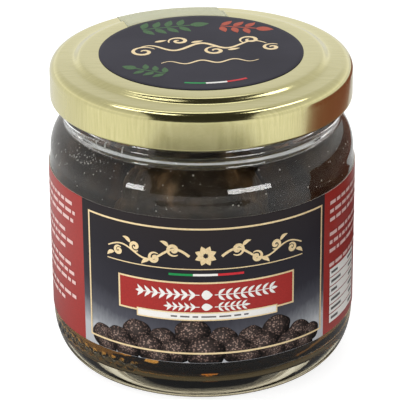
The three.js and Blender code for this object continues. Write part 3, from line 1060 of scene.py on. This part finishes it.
def sprig(x, y, degrees, count, length, width):
    # pairs of plain oval leaves on a short stem
    turn = math.radians(degrees)
    reach = width * count
    end = offset((x, y), reach, turn)
    shapes = [strokeShape([(x, y), end], lambda share: 0.5), leafShape(end, offset(end, length, turn), width)]
    for pair in range(count):
        foot = offset((x, y), reach * pair / count, turn)
        for side in (-1, 1):
            lean = turn + side * math.radians(62)
            shapes.append(leafShape(offset(foot, 0.5, lean), offset(foot, length, lean), 0.62 * width))
    return shapes


def waveLine(start, length, base, slope, height, period, steps):
    path = []
    for i in range(steps + 1):
        x = start + length * i / steps
        path.append((x, base + slope * x + height * math.sin(2 * math.pi * i / period)))
    return path


def stickerOrnament(s):
    shapes = [strokeShape(waveLine(*s["wave"]), swelling(0.35, 0.6))]
    for x, y, size, start, hand in s["curls"]:
        shapes.append(strokeShape(spiral(x, y, size, 1.35, start, hand), swelling(0.3, 0.65)))
    for x, y in s["leaves"]:
        shapes.append(leafShape((x - 1.3, y - 0.5), (x + 1.5, y + 0.7), 1.1))
    shapes.append(strokeShape(waveLine(*s["lowWave"]), swelling(0.25, 0.4)))
    return shapes


def bentStripe(number, s):
    radius, width, start, sweep = s["stripe"]
    first = start + sweep * number
    return strokeShape(arcPoints(0, 0, radius, radius, first, first + sweep, 24), lambda share: width)


place(makeSticker(stickerShape), "lid", "sticker_paper", "lid_sticker")
greenLeaves = [leaf for row in stickerShape["greenSprigs"] for leaf in sprig(*row)]
redLeaves = [leaf for row in stickerShape["redSprigs"] for leaf in sprig(*row)]
inkOnSticker("stickerGreenLeaves", greenLeaves, inks["leafGreen"])
inkOnSticker("stickerRedLeaves", redLeaves, inks["leafRed"], 0.004)
inkOnSticker("stickerGold", stickerOrnament(stickerShape), goldFoil, 0.008)
for stripeNumber, (stripeName, stripeInk) in enumerate(stripeInks.items()):
    inkOnSticker("stickerStripe" + stripeName, [bentStripe(stripeNumber, stickerShape)], stripeInk, 0.01)

stripShape = {
    "width": 24.5, "turn": 15.1, "start": 23.7, "lift": 0.03, "thickness": 0.08, "columns": 24,
    "color": (0.7, 0.71, 0.52), "alpha": 0.48,
}


def filmSurface(s):
    made = surface("paleFilm", s["color"], roughness=0.32, Alpha=s["alpha"])
    addBump(made, noiseField(made, objectSpace(made, (1, 1, 4)), 300, 3), 0.00004, 0.5)
    return made


def makeStrip(s, lid):
    path = [(s["start"], lid["seat"] + lid["panelHeight"])]
    path += [point for point in softened(lidOutside(lid), 2) if point[0] > s["start"] + 0.3]
    path.append((lid["radius"], lid["seat"] + lid["hem"]))
    points, columns = [], s["columns"]
    for i, (radius, height) in enumerate(path):
        dr, dz = heading(path, i)
        r, z = radius - dz * s["lift"], height + dr * s["lift"]
        for column in range(columns + 1):
            across = s["width"] * (column / columns - 0.5)
            turn = math.radians(90 + s["turn"]) - math.asin(across / r)
            points.append(roundPoint(r, turn, z))
    piece = addPiece("sealFilm", points, gridFaces(len(path), columns + 1), [filmSurface(s)])
    faceOutwards(piece)
    thick = piece.modifiers.new("film", "SOLIDIFY")
    thick.thickness = s["thickness"] * mm
    thick.offset = 1
    return piece


place(makeStrip(stripShape, lidShape), "lid", "clear_film", "seal_strip")
print("lid made")


# Studio: pale floor, soft white surround, and cards that only show in reflections

studio = {  # in metres and degrees
    "world": 1.0, "floor": (0.4, 0.4, 0.396), "floorGlow": 0.85, "glowFrom": (0.02, 0.031),
    "floorSize": 3.0, "floorHeight": -0.0001, "windowAim": (0, 0, 0.04),
    "windows": [  # name, place, size, turn, shine, and whether the glass alone takes its light
        ("leftWindow", (-0.54, -0.47, 0.15), (0.17, 0.15), 0, 15, True),
        ("rightWindow", (0.4, -0.59, 0.15), (0.4, 0.16), 0, 13, True),
        ("topWindow", (-0.08, 0.29, 0.72), (0.5, 0.13), 0, 1.2, False),
        ("topLeftLamp", (-0.27, -0.03, 0.67), (0.13, 0.36), -35, 3.0, False),
        ("topRightLamp", (0.34, 0.04, 0.64), (0.12, 0.37), 47, 3.2, False),
    ],
    # angles from the back horizon over the top to the front, half widths in metres
    "darkArch": {"radius": 0.78, "start": 75, "end": 178, "narrow": 0.34, "wide": 0.6,
                 "shade": (0.03, 0.028, 0.023)},
    "redCard": {"x": 0.1, "y": (-0.03, 0.2), "heights": (0.006, 0.062), "shade": (0.2, 0.07, 0.045)},
    "rightShade": {"x": 0.085, "y": (-0.1, 0.0), "heights": (0.004, 0.25), "shade": (0.01, 0.01, 0.01)},
    "tableShade": {"x": (-0.052, 0.062), "y": (-0.043, 0.1), "height": -0.00005, "shade": (0.12, 0.1, 0.062)},
    # painted shade: a dark patch of table at the right of the jar, seen only in reflections
    "rightTableShade": {"x": (0.045, 0.1), "y": (-0.07, 0.08), "height": 0.003, "shade": (0.05, 0.03, 0.025)},
    # patches of table seen only in reflections: the first two are painted shade in front of the jar, the last
    # two are painted brighter table at the left and right
    "tableLights": [
        {"x": (-0.055, 0.055), "y": (-0.26, -0.165), "height": 0.002, "shade": (0.6, 0.6, 0.59)},
        {"x": (-0.085, 0.085), "y": (-0.165, -0.09), "height": 0.002, "shade": (0.22, 0.22, 0.21)},
        {"x": (-0.32, -0.09), "y": (-0.18, 0.0), "height": 0.002, "shade": (0.92, 0.92, 0.9)},
        {"x": (0.088, 0.22), "y": (-0.22, -0.045), "height": 0.002, "shade": (0.98, 0.98, 0.97)},
    ],
    # its shades go by the height in metres
    "greyRoom": {"radius": 1.4, "opening": 0.0345, "height": 0.0004, "nearShade": 0.3, "nearReach": 0.11,
                 "color": (1, 1, 0.985),
                 "shades": [(0.0, 0.8), (0.25, 0.8), (0.36, 0.98), (0.68, 0.68), (1.0, 0.6)]},
}


def glowSurface(name, color):
    made = bpy.data.materials.new(name)
    made.use_nodes = True
    made.node_tree.nodes.remove(made.node_tree.nodes["Principled BSDF"])
    shine = node(made, "ShaderNodeEmission", Color=(*color, 1))
    link(made, shine.outputs["Emission"], made.node_tree.nodes["Material Output"].inputs["Surface"])
    return made


def hiddenCard(card, shades=False, throughGlass=True):
    card.visible_camera = False
    card.visible_diffuse = shades
    card.visible_shadow = shades
    card.visible_transmission = throughGlass


def makeDarkArch(s):
    # the unlit side of the room, from above the lid down to the front horizon
    points, steps = [], 40
    for step in range(steps + 1):
        share = step / steps
        turn = math.radians(s["start"] + (s["end"] - s["start"]) * share)
        half = s["narrow"] + (s["wide"] - s["narrow"]) * share
        for x in (-half, half):
            points.append((x, s["radius"] * math.cos(turn), s["radius"] * math.sin(turn)))
    arch = addPiece("darkArch", points, ribbonFaces(steps + 1), [glowSurface("darkArch", s["shade"])])
    hiddenCard(arch, throughGlass=False)


def uprightCard(name, s):
    x, (near, far), (low, high) = s["x"], s["y"], s["heights"]
    points = [(x, near, low), (x, far, low), (x, far, high), (x, near, high)]
    return addPiece(name, points, [[0, 1, 2, 3]], [glowSurface(name, s["shade"])], smooth=False)


def flatSheet(name, across, along, z, made):
    (left, right), (near, far) = across, along
    points = [(left, near, z), (right, near, z), (right, far, z), (left, far, z)]
    return addPiece(name, points, [[0, 1, 2, 3]], [made], smooth=False)


def flatCard(name, s):
    return flatSheet(name, s["x"], s["y"], s["height"], glowSurface(name, s["shade"]))


def makeGreyRoom(s):
    # what shiny surfaces reflect: a little darker than the white backdrop
    radius, height = s["radius"] / mm, s["height"] / mm
    profile = [(s["opening"] / mm, height)] + arcPoints(0, height, radius, radius, 0, 89, 24)
    made = glowSurface("greyRoom", s["color"])
    space = plainSpace(made)
    # the table is dimmer close to the jar
    near = spread(made, lengthOf(made, space), (s["opening"], s["nearReach"]), (s["nearShade"], 1))
    high = ramp(made, axes(made, space)[2], [(level, (light, light, light)) for level, light in s["shades"]])
    shine = made.node_tree.nodes["Emission"].inputs["Strength"]
    link(made, maths(made, "MULTIPLY", near, high), shine)
    hiddenCard(turnedPiece("greyRoom", profile, [made], sides=48, closed=False), throughGlass=False)


glassOnly = bpy.data.collections.new("glassOnly")
glassOnly.objects.link(jar)


def makeWindow(name, spot, size, turn, shine, onGlass):
    # small bright boxes that show as highlights in the glass and the lid
    data = bpy.data.lights.new(name, "AREA")
    data.shape = "RECTANGLE"
    data.size, data.size_y = size
    data.energy = shine * math.pi * size[0] * size[1]
    lamp = addToScene(name, data)
    lamp.location = spot
    aimAt(lamp, Vector(studio["windowAim"]), turn)
    if onGlass:
        lamp.light_linking.receiver_collection = glassOnly


def makeStudio(s):
    world = bpy.data.worlds.new("whiteRoom")
    world.use_nodes = True
    world.node_tree.nodes["Background"].inputs["Color"].default_value = (1, 1, 1, 1)
    world.node_tree.nodes["Background"].inputs["Strength"].default_value = s["world"]
    bpy.context.scene.world = world
    made = surface("paleFloor", s["floor"], roughness=0.8, Emission_Color=(1, 1, 1, 1))
    # the table lights up around the jar, not under it
    glow = spread(made, lengthOf(made, plainSpace(made)), s["glowFrom"], (0, s["floorGlow"]))
    link(made, glow, shaderSocket(made, "Emission Strength"))
    side = (-s["floorSize"] / 2, s["floorSize"] / 2)
    floor = flatSheet("paleFloor", side, side, s["floorHeight"], made)
    for window in s["windows"]:
        makeWindow(*window)
    makeDarkArch(s["darkArch"])
    hiddenCard(uprightCard("redCard", s["redCard"]), shades=True, throughGlass=False)
    rightShade = uprightCard("rightShade", s["rightShade"])
    hiddenCard(rightShade, shades=True, throughGlass=False)
    rightShade.visible_glossy = False
    # painted shade in front of the jar and painted brighter table at the sides, for reflections only
    for number, card in enumerate(s["tableLights"]):
        hiddenCard(flatCard(f"tableLight{number + 1}", card), throughGlass=False)
    hiddenCard(flatCard("tableShade", s["tableShade"]))
    # painted shade on the table at the right, which only reflections see
    hiddenCard(flatCard("rightTableShade", s["rightTableShade"]), throughGlass=False)
    makeGreyRoom(s["greyRoom"])


makeStudio(studio)
bpy.context.scene.view_settings.view_transform = "Standard"
bpy.context.scene.view_settings.look = "None"
print("studio made")
